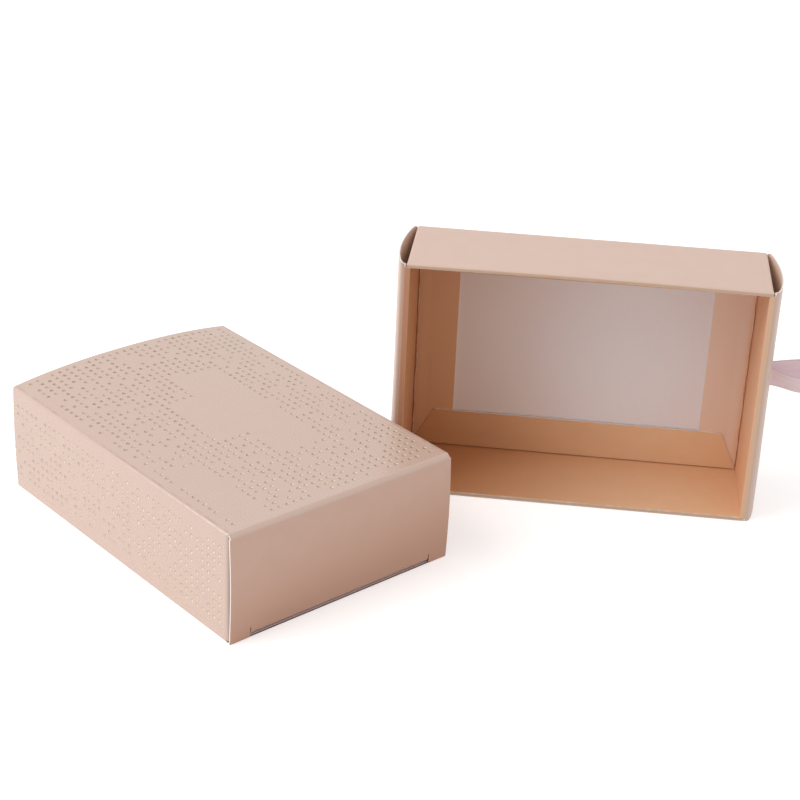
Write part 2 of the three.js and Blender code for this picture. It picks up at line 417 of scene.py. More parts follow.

# %% [markdown]
# ## The closed end
# The end flap hangs from the top panel and its tab is tucked in over the bottom panel. The die
# cuts a small notch at each end of the tab, so two ears of the flap reach down to the table and
# the fold of the tab between them leaves a dark slit. The flap is on another body than the
# sleeve, because it opens. The crease between them is a piece of its own.

# %% End flap and tuck tab
flap_side = half_width - 0.05
flap_swell = 0.7
notch = 0.3
tab_reach = 15
tab_rise = 2.7
tab_corner = 5
tab_corner_cells = 5
tab_slope = math.degrees(math.atan2(tab_rise, tab_reach))
flap_top = sleeve_height - band_reach[1]
fold_start = 3.15
notch_height = 1.1
flap_rows = 10
ear_rows = 2

flap_path = fold_path((-half_length, flap_top), 270, [
    ("run", flap_top - fold_start - notch_height, flap_rows - 1),
    ("run", notch_height, 1),
    ("turn", 20, 4),
    ("turn", 70 + tab_slope, 0.8),
    ("run", tab_reach - tab_corner, 3),
    ("run", tab_corner, tab_corner_cells),
])
tab_tip = len(flap_path) - 1 - tab_corner_cells
ear_columns = 3
middle_columns = 13
left_ear = np.linspace(-flap_side, -tab_side - notch, ear_columns)
right_ear = np.linspace(tab_side + notch, flap_side, ear_columns)


def flap_beside(k):
    past = max(k - tab_tip, 0) / tab_corner_cells
    narrow = tab_side - tab_corner * (1 - math.sqrt(1 - past ** 2))
    middle = np.linspace(-narrow, narrow, middle_columns)
    return np.concatenate([left_ear, middle, right_ear])


def hang_and_swell(points):
    """The ears go straight down to the table, and the whole face stands a little proud."""
    depth = points[0, 0, 0]
    for step in range(ear_rows + 1):
        for column in [*range(ear_columns), *range(-ear_columns, 0)]:
            points[flap_rows + step, column, 0] = depth
            points[flap_rows + step, column, 1] = fold_start * (1 - step / ear_rows)
    swell = flap_swell * np.sin(math.pi * np.clip(points[..., 1] / flap_top, 0, 1))
    points[..., 0] -= swell * blended(-points[..., 0], half_length - 1.8, half_length - 1)
    return points


flap_cells = np.ones((len(flap_path) - 1, 2 * ear_columns + middle_columns - 1), bool)
flap_cells[flap_rows - 1:, [ear_columns - 1, -ear_columns]] = False
flap_cells[flap_rows + ear_rows:, : ear_columns] = False
flap_cells[flap_rows + ear_rows:, -ear_columns:] = False


def along_sleeve(points):
    y, z, x = parts(points)
    return in_sleeve(x, y, z)


end_flap = folded("end_flap_and_tab", flap_path, flap_beside, along_sleeve, hang_and_swell, flap_cells)

crease_path = fold_path((top_start, sleeve_height), 180, crease_band)


def crease_beside(k):
    """The crease widens a little from the top panel to the flap."""
    widening = card * k / (len(crease_path) - 1)
    return np.linspace(-1, 1, 12) * (half_width - fold_radius + widening)


end_crease = folded("end_flap_crease", crease_path, crease_beside, along_sleeve)
print("end flap hangs from", round(flap_top, 1), "mm above the table")

# %% [markdown]
# ## Dust flaps
# Two flaps turn in from the sides behind the end flap, to keep dust out and the corners square.
# They hardly show, but the soft round fold beside the flap's white edge is theirs.

# %% Dust flaps
dust_reach = 30
dust_rows = 6
dust_foot = 1.0
dust_gap = 5.2
dust_tapers = (4, 3.7)
dust_top = sleeve_height - 1.2
crease_past = 0.5


def dust_ends(share):
    """The flap steps up by the gap over its first row, then narrows from both sides."""
    low = dust_foot + (dust_gap - dust_foot) * min(dust_rows * share, 1) + dust_tapers[0] * share
    return np.linspace(low, dust_top - dust_tapers[1] * share, 8)


def dust_crease_ends(share):
    """At the side panel the crease reaches a little past the flap's own first row."""
    past = crease_past * (1 - share)
    return np.linspace(dust_foot - past, dust_top + past, 8)


dust_pieces = {}
for name, side in (("left", 1), ("right", -1)):
    def from_above(points, side=side):
        x, y, z = parts(points)
        return in_sleeve(x * side, y, z)

    turn_in = fold_path((-half_width, side_start), 270, [("turn", 90, dust_radius)])
    panel = fold_path(turn_in[-1], 0, [("run", dust_reach, dust_rows)])
    dust_pieces[name] = (
        folded(f"{name}_dust_crease", turn_in, lambda k: dust_crease_ends(k / quarter_turn), from_above),
        folded(f"{name}_dust_panel", panel, lambda k: dust_ends(k / dust_rows), from_above),
    )
print("dust flaps turn in by", dust_reach + dust_radius, "mm")

# %% [markdown]
# ## The tray's long walls
# Each wall of the tray is double. The blank runs from the floor round a crease, forward as the
# outer skin, over the rim in a half turn and back down as the lining, and its last strip is
# glued to the floor. The lining shows the printed side too, because the sheet has turned over.
# Skin and lining are two pieces here that meet at the rim's inner crease, where the real sheet
# is scored as well.

# %% Long walls
skin_end = card + 0.3
tab_fold = 0.8
crisp = 0.35
soft_fold = 0.55
strip_run = long_wall - soft_fold - crisp
rim_strip = [("run", strip_run, 2), ("turn", 90, crisp)]
long_skin_path = fold_path((0, fold_radius), 270, [
    ("turn", 90, fold_radius),
    ("run", tray_depth - fold_radius - soft_fold, 12),
    ("turn", 90, soft_fold),
])
long_rim_start = len(long_skin_path) - 1 - quarter_turn
long_rim_cells = rim_strip[0][2] + quarter_turn
long_columns = 30

floor_flap = 17
flap_slants = (9.4, 8.0)
groove = 0.22
groove_floor = card + 0.05
lip_length = 5


def floor_crease(level, proud, flap):
    """From a lining's foot up out of its groove to a level in mm, over a lip that stands proud of
    it, and along the floor as a flap."""
    slope = math.degrees(math.asin(proud / lip_length))
    return [
        ("run", tray_depth - crisp - groove_floor - groove, 10),
        ("turn", -180, groove),
        ("run", level + proud - groove_floor - 2 * groove, 1),
        ("turn", 90 + slope, groove),
        ("run", lip_length, 3),
        ("turn", -slope, 4),
        ("run", flap - lip_length - 3 * groove, 4),
    ]


long_lining_steps = [*rim_strip, *floor_crease(3 * card, 0.2, floor_flap)]
long_lining_path = fold_path(long_skin_path[-1], 90, long_lining_steps)


def skin_beside(k):
    inset = skin_end if k >= long_rim_start else skin_end + tab_fold
    return np.linspace(inset, tray_length - inset, long_columns)


def lining_beside(k):
    """The lining is as long as the wall down to the floor, where its flap has slanted ends."""
    if k <= long_rim_cells:
        return np.linspace(skin_end, tray_length - skin_end, long_columns)
    height = max(long_lining_path[k][1] - long_wall, 0) / floor_flap
    left, right = (end_wall + slant * height for slant in flap_slants)
    return np.linspace(left, tray_length - right, long_columns)


upper_bow = 0.5
bow_start = 15


def long_wall_place(upper):
    def place(points):
        depth, z, along = parts(points)
        if not upper:
            return in_tray(along, depth, z)
        bow = upper_bow * np.sin(math.pi * along / tray_length) * blended(depth, bow_start, tray_depth)
        return in_tray(along, depth, tray_width - z + bow)
    return place


tray_pieces = {}
for level in ("lower", "upper"):
    place = long_wall_place(level == "upper")
    tray_pieces[f"{level}_skin"] = folded(f"{level}_wall_skin", long_skin_path, skin_beside, place)
    tray_pieces[f"{level}_lining"] = folded(f"{level}_wall_lining", long_lining_path, lining_beside, place)
wall_blank = walked(long_skin_path)[-1] + walked(long_lining_path)[-1]
print("a long wall's blank is", round(wall_blank, 1), "mm wide")

# %% [markdown]
# ## The tray's end walls
# Nothing holds the outer skin of an end wall at its two corners, so it bulges out and shows its
# white cut edge as a thin curved line, with a dark opening behind it. The right one has the slot
# that the ribbon goes through.

# %% End walls
skin_foot = card
skin_top = tray_depth - crisp
bulge_lean = 1.25
low_swell = 0.93
swell_loss = 0.06


def bulge(depth):
    """How far the skin stands out at a depth: most of it near the rim, where it springs back."""
    share = (depth - skin_foot) / (skin_top - skin_foot)
    return end_bulge * math.sqrt(math.sin(math.pi * share ** bulge_lean))


def loosened(height):
    """How free the skin is at a height: a little more so low down, where the tray's weight rests."""
    return low_swell - swell_loss * blended(height, 15, 60)


slot_depths = (6.0, 8.0)
slot_heights = (46.2, 57.2)
foot_turn = fold_path((0, fold_radius), 270, [("turn", 90, fold_radius)])[:-1]
foot_depths = [1.0, 1.8, 3, 4.5]
free_depths = [*np.linspace(10.5, 38, 9), 40, 41.5, 42.6, 43.3, 43.7]
depths = np.array([*foot_depths, *slot_depths, *free_depths])
swollen = np.array([(depth, -bulge(depth)) for depth in depths])
rim_turn = fold_path((skin_top, 0), 0, [("turn", 90, crisp), ("run", end_wall - 2 * crisp, 2)])
end_skin_path = np.vstack([foot_turn, swollen, rim_turn])
slot_row = len(foot_turn) + len(foot_depths)
end_rim_start = len(foot_turn) + len(swollen)
rim_cells = len(rim_turn) - 1
lower_heights = [0, 3, 6, 10, 14, 18, 22, 30, 38]
skin_heights = np.array([*lower_heights, *slot_heights, 65, 73, 81, 89, 97.4, tray_width])
slot_column = len(lower_heights)

end_flap_reach = 17.4
end_flap_slant = 3
end_columns = 60
end_lining_steps = [("turn", 90, crisp), *floor_crease(2 * card, 0.4, end_flap_reach)]
end_lining_path = fold_path(rim_turn[-1], 90, end_lining_steps)


def end_skin_beside(k):
    """The skin is narrower round its foot, and its rim is mitred towards the lining."""
    inset = 0.0
    if k < len(foot_turn):
        inset = fold_radius * (1 - k / len(foot_turn))
    if k > end_rim_start:
        inset = card + 2 * card * (k - end_rim_start) / rim_cells
    heights = skin_heights.copy()
    heights[0] += inset
    heights[-1] -= inset
    return heights


def swell_by_height(points):
    across = points[..., 1]
    points[..., 1] = np.where(across < 0, across * loosened(points[..., 2]), across)
    return points


def end_lining_beside(k):
    across = end_lining_path[k][1] - end_wall
    edge = long_wall
    if k > quarter_turn:
        edge = card if across < near else long_wall + end_flap_slant * across / end_flap_reach
    return np.linspace(edge, tray_width - edge, end_columns)


lip_waves = ((3.1, 1, 1), (1.37, 0, 0.7), (8.3, 2, 0.5))
lip_wander = 0.13


def uneven_lip(points):
    """Pushes the lip of a floor crease to and fro, as a scored fold of thick board cracks. A wave
    of it has a length in mm, a phase and a size."""
    _, across, along = parts(points)
    wave = sum(size * np.sin(along / length + phase) for length, phase, size in lip_waves)
    share = blended(across, 2.45, 2.8) * (1 - blended(across, 3.2, 6))
    points[..., 1] = across + lip_wander * wave * share
    return points

# %% Skins and linings of the end walls
slot_cells = np.ones((len(end_skin_path) - 1, len(skin_heights) - 1), bool)
slot_cells[slot_row, slot_column] = False
for name in ("left", "right"):
    def across_end(points, far=name == "right"):
        depth, x, z = parts(points)
        return in_tray(tray_length - x if far else x, depth, z)

    tray_pieces[f"{name}_skin"] = folded(
        f"{name}_end_skin", end_skin_path, end_skin_beside, across_end, swell_by_height,
        slot_cells if name == "right" else None,
    )
    tray_pieces[f"{name}_lining"] = folded(
        f"{name}_end_lining", end_lining_path, end_lining_beside, across_end, uneven_lip
    )
print("end walls stand out by up to", round(max(map(bulge, depths)), 1), "mm")

# %% [markdown]
# ## Corner tabs and the floor
# The long walls end in tabs that turn the corner and are caught between the two skins of an end
# wall. In the opening at a corner they are what one sees behind the fold. The floor is the middle
# of the blank: printed outside, and bare white board inside, where the glued strips leave it open.

# %% Corner tabs and floor
tab_run = 24 + card - tab_fold
tab_taper = 3
tab_depths = (2 * card, tray_depth - end_wall / 2 - fold_radius)
tab_path = fold_path((0, skin_end + tab_fold), 270, [("turn", 90, tab_fold), ("run", tab_run, 5)])


def tab_beside(k):
    taper = tab_taper * max(tab_path[k][0] - tab_fold, 0) / tab_run
    return np.linspace(tab_depths[0] + taper, tab_depths[1] - taper, 10)


for level in ("lower", "upper"):
    for name in ("left", "right"):
        def round_corner(points, high=level == "upper", far=name == "right"):
            z, x, depth = parts(points)
            return in_tray(tray_length - x if far else x, depth, tray_width - z if high else z)

        corner = f"{level}_{name}_tab"
        tray_pieces[corner] = folded(corner, tab_path, tab_beside, round_corner)

floor_path = fold_path((fold_radius, 0), 0, [("run", tray_length - 2 * fold_radius, 16)])
tray_pieces["floor"] = folded(
    "tray_floor_panel", floor_path,
    lambda k: np.linspace(fold_radius, tray_width - fold_radius, 12),
    lambda points: in_tray(*parts(points)),
)
print("the tray has", len(tray_pieces), "pieces of card")

# %% [markdown]
# ## The ribbon
# A satin ribbon 10 mm wide is folded in half. Both ends go through the slot and are glued behind
# the skin, and the loop outside is the handle. Soft ribbon could be simulated, but a short stiff
# loop like this one keeps the curve that its weave gives it, so it is drawn: a line in the plan
# view, and at each point of it how far the band leans.

# %% Ribbon loop
ribbon_width = 10
ribbon_thickness = 0.3
ribbon_reach = 42
slot_depth = sum(slot_depths) / 2
ribbon_middle = tray_width / 2
slot_skin = tray_length + bulge(slot_depth) * float(loosened(ribbon_middle))
loop_pieces = 72
loop_fullness = 7.2
stem_gap = 0.35
sideways_drift = 0.8
strand_drops = {1: 2.0, -1: -1.2}
behind_skin = [1.6, 0, 0]
full_lean = np.radians(28)


def loop_point(turn):
    """Plan of the loop, from the near strand's root at 0, round its end at 1, to the far one at 2."""
    strand = 1 if turn <= 1 else -1
    share = turn if turn <= 1 else 2 - turn
    out = ribbon_reach * (1 - math.cos(math.pi * share)) / 2
    width = loop_fullness * math.sin(math.pi * share) * math.sin(math.pi * share / 2) ** 1.2
    stem = stem_gap * math.cos(math.pi * share / 2) ** 2
    drift = sideways_drift * blended(out, 0, 14)
    drop = strand_drops[strand] * blended(out, 0, 16) * (1 - blended(out, 30, ribbon_reach))
    return np.array([out, (stem + width) * strand + drift, -drop])


turns = np.linspace(0, 2, loop_pieces + 1)
centre = np.array([loop_point(turn) for turn in turns])
centre = np.vstack([centre[0] - behind_skin, centre, centre[-1] - behind_skin])
passed = np.array([0, *turns, 2])
lean = full_lean * blended(passed, 0.02, 0.35) * (1 - blended(passed, 0.75, 1.35))
loop_walk = walked(centre)
ahead = unit(np.gradient(centre, axis=0))
outward = unit(np.cross([0, 0, 1], ahead))
band = np.cos(lean)[:, None] * np.array([0, 0, 1.0]) + np.sin(lean)[:, None] * outward
facing = np.cross(ahead, band)
across_band = np.linspace(-ribbon_width / 2, ribbon_width / 2, 11)


def ribbon_grid(offset):
    middle = centre + facing * offset
    points = middle[:, None, :] + band[:, None, :] * across_band[None, :, None]
    x, depth, z = parts(points)
    return in_tray(slot_skin + x, slot_depth + depth, ribbon_middle + z)


def ribbon_piece(name, grid, thickness, across, along):
    """A band between two grids of points, as far apart as it is thick."""
    flat = np.stack(np.meshgrid(across, along), -1)
    return put(name, card_mesh(name, grid(thickness / 2), grid(-thickness / 2), flat))


ribbon_pull = ribbon_piece("ribbon_pull", ribbon_grid, ribbon_thickness, across_band, loop_walk)

# %% Ribbon ends behind the skin
tail_length = 15
two_layers = 0.5
tail_path = fold_path((slot_skin - 1.7, slot_depth), 180, [
    ("run", 1.0, 1),
    ("turn", -90, 0.7),
    ("run", tail_length, 6),
])
across_tail = np.linspace(-ribbon_width / 2, ribbon_width / 2, 6)


def tail_grid(offset):
    line = tail_path - left_of(tail_path) * offset
    z, x = np.meshgrid(across_tail, line[:, 0])
    return in_tray(x, np.meshgrid(across_tail, line[:, 1])[1], ribbon_middle + z)


ribbon_ends = ribbon_piece("ribbon_ends", tail_grid, two_layers, across_tail, walked(tail_path))
print("each end behind the skin is", round(walked(tail_path)[-1], 1), "mm long")

# %% [markdown]
# ## Materials
# The box is solid bleached board of about 0.5 mm: white paper fibres inside, a smooth clay
# coating outside, a printed tint and a varnish. A material is built from nodes by one small
# function, and every scale starts from a real size in millimetres. The UV map is in metres, so a
# noise of scale 1000 / s has blobs about s millimetres wide.

# %% Node helper and colours
def linear(code):
    """An sRGB hex colour as linear numbers for a shader."""
    values = [int(code[k : k + 2], 16) / 255 for k in (1, 3, 5)]
    return [v / 12.92 if v <= 0.04045 else ((v + 0.055) / 1.055) ** 2.4 for v in values] + [1]


def connect(tree, node, inputs):
    """Links or sets inputs of a node. A node among them stands for its first output in use."""
    for name, value in inputs.items():
        if isinstance(value, bpy.types.Node):
            value = next(output for output in value.outputs if output.enabled)
        if isinstance(value, bpy.types.NodeSocket):
            tree.links.new(value, node.inputs[name])
        else:
            node.inputs[name].default_value = value


def add(tree, kind, inputs=None, **settings):
    """Adds a node, sets it up and connects its inputs."""
    node = tree.nodes.new(kind)
    for key, value in settings.items():
        setattr(node, key, value)
    connect(tree, node, inputs or {})
    return node


def new_material(name, constants):
    """A material, and the shader in it that has these values all over."""
    material = bpy.data.materials.new(name)
    material.use_nodes = True
    tree = material.node_tree
    tree.nodes.clear()
    shader = add(tree, "ShaderNodeBsdfPrincipled", constants)
    add(tree, "ShaderNodeOutputMaterial", {"Surface": shader})
    return material, tree, shader


def per_mm(size):
    """The scale of a texture whose features are so many millimetres wide."""
    return 1000 / size

# %% [markdown]
# ### Worn folds
# Where a printed board is creased, the coating cracks and the white fibres show as a broken pale
# line. The UV map's second number is the length walked along the blank, so a fold is a fixed
# value of it, and the wear is whatever lies close to that value, broken up by noise. On the
# sleeve the pale line grows along the crease towards the closed end, as wear and as a painted
# highlight. The same broken line, darkened, is painted shade beside the sleeve's scores.

# %% Wear along folds
def wear_and_shade_line(tree, blank, folds, spread, grows=None):
    """A broken mask near lines across the blank, given in mm along it: cracked coating at folds, where
    it pales the print, and painted shade beside the scores, where it darkens it. Where the mask
    grows along a line, it does so from the first place to the second."""
    along = add(tree, "ShaderNodeSeparateXYZ", {0: blank}).outputs[1]
    nearest = None
    for fold in folds:
        gap = add(tree, "ShaderNodeMath", {0: along, 1: fold * MM}, operation="SUBTRACT")
        gap = add(tree, "ShaderNodeMath", {0: gap}, operation="ABSOLUTE")
        if nearest is not None:
            gap = add(tree, "ShaderNodeMath", {0: gap, 1: nearest}, operation="MINIMUM")
        nearest = gap
    close = add(tree, "ShaderNodeMapRange", {
        "Value": nearest, "From Min": spread * MM, "From Max": 0.3 * spread * MM,
    }, interpolation_type="SMOOTHSTEP")
    cracks = add(tree, "ShaderNodeTexNoise", {"Vector": blank, "Scale": per_mm(4), "Detail": 5})
    broken = add(tree, "ShaderNodeMapRange", {
        "Value": cracks, "From Min": 0.35, "From Max": 0.7, "To Max": 0.6,
    })
    if grows is not None:
        beside = add(tree, "ShaderNodeSeparateXYZ", {0: blank}).outputs[0]
        handled = add(tree, "ShaderNodeMapRange", {
            "Value": beside, "From Min": grows[0] * MM, "From Max": grows[1] * MM,
        })
        close = add(tree, "ShaderNodeMath", {0: close, 1: handled}, operation="MULTIPLY")
    return add(tree, "ShaderNodeMath", {0: close, 1: broken}, operation="MULTIPLY")

# %% [markdown]
# ### Printed board
# The tint is a pale pink tan. Up close it is not flat: the board clouds a little over a few
# millimetres, and the varnish has a fine tooth that breaks up reflections. Its gloss is that of
# a satin varnish, an IOR of 1.5 and a roughness near 0.4, so at a low angle it mirrors softly
# what stands next to it. A fade turns part of a panel gradually into another tint, and the fades
# below paint shade and light into the print.

# %% Printed board
def faded(tree, blank, colour, fades):
    """Turns a colour into other tints. A fade has a direction on the blank, the places in mm
    where it starts and ends, and a tint."""
    for direction, start, end, tint in fades:
        placed = add(tree, "ShaderNodeVectorMath", {0: blank, 1: direction}, operation="DOT_PRODUCT")
        share = add(tree, "ShaderNodeMapRange", {
            "Value": placed, "From Min": start * MM, "From Max": end * MM,
        }, interpolation_type="SMOOTHSTEP")
        colour = add(tree, "ShaderNodeMix", {
            "Factor": share, "A": colour, "B": linear(tint),
        }, data_type="RGBA")
    return colour


def printed_board(name, tints, roughness, folds=(), spread=0.5, fades=(), gloss=1.5, grows=None):
    """Varnished print. It clouds between two tints, and its gloss is an IOR."""
    material, tree, shader = new_material(name, {"IOR": gloss})
    blank = add(tree, "ShaderNodeUVMap", uv_map="blank")
    clouds = add(tree, "ShaderNodeTexNoise", {
        "Vector": blank, "Scale": per_mm(9), "Detail": 3, "Roughness": 0.6,
    })
    colour = add(tree, "ShaderNodeMix", {
        "Factor": clouds, "A": linear(tints[1]), "B": linear(tints[0]),
    }, data_type="RGBA")
    colour = faded(tree, blank, colour, fades)
    if folds:
        worn = wear_and_shade_line(tree, blank, folds, spread, grows)
        colour = add(tree, "ShaderNodeMix", {
            "Factor": worn, "A": colour, "B": linear("#F6EAE2"),
        }, data_type="RGBA")
    tooth = add(tree, "ShaderNodeTexNoise", {
        "Vector": blank, "Scale": per_mm(0.5), "Detail": 2, "Roughness": 0.7,
    })
    sheen = add(tree, "ShaderNodeMapRange", {
        "Value": tooth, "To Min": roughness - 0.05, "To Max": roughness + 0.07,
    })
    bump = add(tree, "ShaderNodeBump", {"Height": tooth, "Strength": 0.15, "Distance": 0.00005})
    connect(tree, shader, {"Base Color": colour, "Roughness": sheen, "Normal": bump})
    return material

# %% Prints of the flap and the tray
satin_varnish = 0.4
across_blank, along_blank = (1, 0, 0), (0, 1, 0)
print_tints = ("#E2C4B4", "#DDBDAC")
plain_print = printed_board("satin_varnished_board", print_tints, satin_varnish)
wall_print = printed_board("satin_varnished_wall", print_tints, satin_varnish)

# Near its rim an end wall is painted darker as shade, the left one much more, and its rim strip
# is painted a warm tan shade close to the lining's tint.
end_rim_at = walked(end_skin_path)[end_rim_start]
shade_painted_end_prints = {
    name: printed_board(f"satin_varnished_{name}_end", print_tints, satin_varnish, fades=[
        (along_blank, end_rim_at - 6, end_rim_at - 1, front),
        (along_blank, end_rim_at, end_rim_at + 0.4, rim_shade),
    ])
    for name, front, rim_shade in (("left", "#B99A87", "#BD8869"), ("right", "#DDBFAE", "#DDB596"))
}

# The end flap gets darker, pinker tints than the other panels as painted shade, and a painted
# shade that turns it browner downwards.
painted_downward_shade = ((0.1, 1, 0), 4, 42, "#CC9E86")
flap_tints = ("#DDB8A5", "#D6AE9A")
flap_print = printed_board("satin_varnished_end_flap", flap_tints, satin_varnish, fades=[painted_downward_shade])

# Inside the tray the print is a warm tan. It is painted darker towards the left end as shade,
# and painted darker on the rim's strip, which faces forward, as shade. It is cracked where it is scored.
lining_roughness = 0.45
lining_tints = ("#EEC39D", "#E8BA90")
strip_at = strip_run + 0.3
painted_left_shade = (across_blank, 125, 0, "#C68A5A")
painted_rim_shade = (along_blank, strip_at + 0.3, strip_at, "#CAAB91")
long_lining_print = printed_board(
    "satin_varnished_lining", lining_tints, lining_roughness, [strip_at], 0.35, [painted_left_shade, painted_rim_shade]
)
lip_cells = np.cumsum([cells_of(step) for step in end_lining_steps])[3:5]
flap_start = walked(end_lining_path)[sum(lip_cells) // 2]
# The left end's lining is painted darker as shade, and the right end's floor flap is painted paler as
# light.
end_lining_prints = {
    name: printed_board(
        f"satin_varnished_{name}_lining", tints, lining_roughness, [flap_start],
        fades=[(along_blank, flap_start - 1, flap_start + 3, flap_tint)],
    )
    for name, tints, flap_tint in (
        ("left", ("#CF9669", "#C78C5F"), "#CF976C"), ("right", ("#EBBA95", "#E4AF88"), "#EACBB7"),
    )
}
print("worn line of the long lining lies", round(strip_at, 2), "mm from the rim")

# %% [markdown]
# ### Hot foil dots
# The sleeve has a gloss varnish, an IOR of 1.75 and a roughness near 0.3, and dots of champagne
# foil, pressed on hot, on a grid of 3.5 mm. Each dot is a mask: the distance to the nearest grid
# point, cut off at the dot's radius. White noise on the grid point itself drops one dot in five,
# and a few windows stay bare. Where the mask is on, the board turns half into metal, so a dot is
# bright or dark with what it mirrors. The die presses each one a little differently, so the noise
# also varies its colour, and its sunk rim catches light. The foil is also painted paler towards
# the closed end and on the sides, as a painted reflection of the bright tent. Beside both long
# creases a dark line is painted into the top as the shade of the die's score.

# %% Foil dots
dot_radius = 0.68
missing_dots = 0.2
bare_windows = [((13.5, 9.5), (19.5, 30.5)), ((9.5, 14.5), (13.5, 24.5)), ((0.5, 27.5), (4.5, 40.5))]


def foil_mask(tree):
    """The mask of the dots, and how pale each of them is: at random, and paler towards the closed
    end and on the sides as a painted reflection.
    """
    grid = add(tree, "ShaderNodeUVMap", uv_map="foil")
    shifted = add(tree, "ShaderNodeVectorMath", {0: grid, 1: (0.5, 0.5, 0)}, operation="ADD")
    cell = add(tree, "ShaderNodeVectorMath", {0: shifted}, operation="FLOOR")
    away = add(tree, "ShaderNodeVectorMath", {0: grid, 1: cell}, operation="DISTANCE")
    radius = dot_radius / dot_pitch
    dot = add(tree, "ShaderNodeMapRange", {
        "Value": away, "From Min": radius + 0.06, "From Max": radius - 0.08,
    }, interpolation_type="SMOOTHSTEP")
    chance = add(tree, "ShaderNodeTexWhiteNoise", {"Vector": cell}, noise_dimensions="2D")
    masks = [add(tree, "ShaderNodeMath", {0: chance, 1: missing_dots}, operation="GREATER_THAN")]
    column, row, _ = add(tree, "ShaderNodeSeparateXYZ", {0: cell}).outputs
    first = add(tree, "ShaderNodeMath", {0: column, 1: row}, operation="MINIMUM")
    masks.append(add(tree, "ShaderNodeMath", {0: first, 1: -0.5}, operation="GREATER_THAN"))
    for low, high in bare_windows:
        middle = [(a + b) / 2 for a, b in zip(low, high)] + [0]
        half = [(b - a) / 2 for a, b in zip(low, high)] + [1]
        offset = add(tree, "ShaderNodeVectorMath", {0: cell, 1: middle}, operation="SUBTRACT")
        scaled = add(tree, "ShaderNodeVectorMath", {0: offset, 1: half}, operation="DIVIDE")
        size = add(tree, "ShaderNodeVectorMath", {0: scaled}, operation="ABSOLUTE")
        wide, tall, _ = add(tree, "ShaderNodeSeparateXYZ", {0: size}).outputs
        largest = add(tree, "ShaderNodeMath", {0: wide, 1: tall}, operation="MAXIMUM")
        masks.append(add(tree, "ShaderNodeMath", {0: largest, 1: 1}, operation="GREATER_THAN"))
    for mask in masks:
        dot = add(tree, "ShaderNodeMath", {0: dot, 1: mask}, operation="MULTIPLY")
    pale = add(tree, "ShaderNodeSeparateXYZ", {0: chance.outputs["Color"]}).outputs[1]
    own_row = add(tree, "ShaderNodeMath", {0: row, 1: side_rows}, operation="MODULO")
    on_side = add(tree, "ShaderNodeMath", {0: row, 1: side_rows / 2}, operation="GREATER_THAN")
    # Paler towards the closed end and on the sides: a painted reflection of the bright tent.
    for part, weight in ((own_row, 1 / dot_rows), (on_side, 0.6)):
        pale = add(tree, "ShaderNodeMath", {0: part, 1: weight, 2: pale}, operation="MULTIPLY_ADD")
    return dot, add(tree, "ShaderNodeMath", {0: pale, 1: 0.5}, operation="MULTIPLY")

# %% Print of the sleeve, with its foil
sleeve_walk = walked(sleeve_path)
sleeve_folds = [sleeve_walk[first_cell[step] + quarter_turn // 2] for step in (RIGHT_FOLD, LEFT_FOLD)]
gloss_varnish = 1.75
varnished_tints = ("#D7BBAC", "#D3B5A5")
# The pale line on the sleeve's folds grows towards the closed end, as wear and as a painted highlight.
sleeve_print = printed_board(
    "foil_stamped_board", varnished_tints, 0.27, sleeve_folds, 0.55,
    gloss=gloss_varnish, grows=(10, -half_length),
)
crease_print = printed_board("satin_varnished_crease", ("#DEC2B3", "#DABDAD"), satin_varnish)
# Painted shade: the dust crease darkens beside the flap's white edge, in the narrow groove there.
crease_groove_shade = (along_blank, 0.7, 2.4, "#A88C7B")
dust_print = printed_board(
    "gloss_varnished_flap", varnished_tints, 0.3, fades=[crease_groove_shade], gloss=gloss_varnish
)
tree = sleeve_print.node_tree
shader = next(node for node in tree.nodes if node.type == "BSDF_PRINCIPLED")
foil, pale = foil_mask(tree)


def fed(socket):
    """What feeds a socket of the sleeve's shader so far."""
    return shader.inputs[socket].links[0].from_socket


blank = add(tree, "ShaderNodeUVMap", uv_map="blank")
beside_crease = 0.55
top_from, top_to = sleeve_walk[first_cell[RIGHT_FOLD + 1]], sleeve_walk[first_cell[LEFT_FOLD]]
scores = [top_from + beside_crease, top_to - beside_crease]
# A dark line just inside each long crease of the top: painted shade of the die's score.
score_shade = add(tree, "ShaderNodeMix", {
    "Factor": wear_and_shade_line(tree, blank, scores, 0.7), "A": fed("Base Color"), "B": linear("#B09380"),
}, data_type="RGBA")
foil_tone = add(tree, "ShaderNodeMix", {
    "Factor": pale, "A": linear("#A88A6E"), "B": linear("#E8D6B8"),
}, data_type="RGBA")
foil_colour = add(tree, "ShaderNodeMix", {
    "Factor": foil, "A": score_shade, "B": foil_tone,
}, data_type="RGBA")
foil_gloss = add(tree, "ShaderNodeMix", {"Factor": foil, "A": fed("Roughness"), "B": 0.4})
sunk = add(tree, "ShaderNodeBump", {
    "Height": foil, "Strength": 0.9, "Distance": 0.0005, "Normal": fed("Normal"),
}, invert=True)
foil_metal = add(tree, "ShaderNodeMath", {0: foil, 1: 0.5}, operation="MULTIPLY")
connect(tree, shader, {
    "Base Color": foil_colour, "Roughness": foil_gloss, "Metallic": foil_metal, "Normal": sunk,
})
print("foil_stamped_board has", len(tree.nodes), "nodes")

# %% [markdown]
# ### Bare board and raw edges
# The back of the board is bare: matt, a cool white and slightly fibrous. Inside the double walls
# it is given a warm tan, painted bounce light from the tan print around it, and that is what
# shows inside the open corners of the tray. On the floor it is painted warmer and darker towards
# the left end, as shade. The raw edge shows the layers of fibre that the die has cut through. A
# fresh one is bright, and the low ones at the closed end are painted dark brown as the shade of
# the slit and the notches.

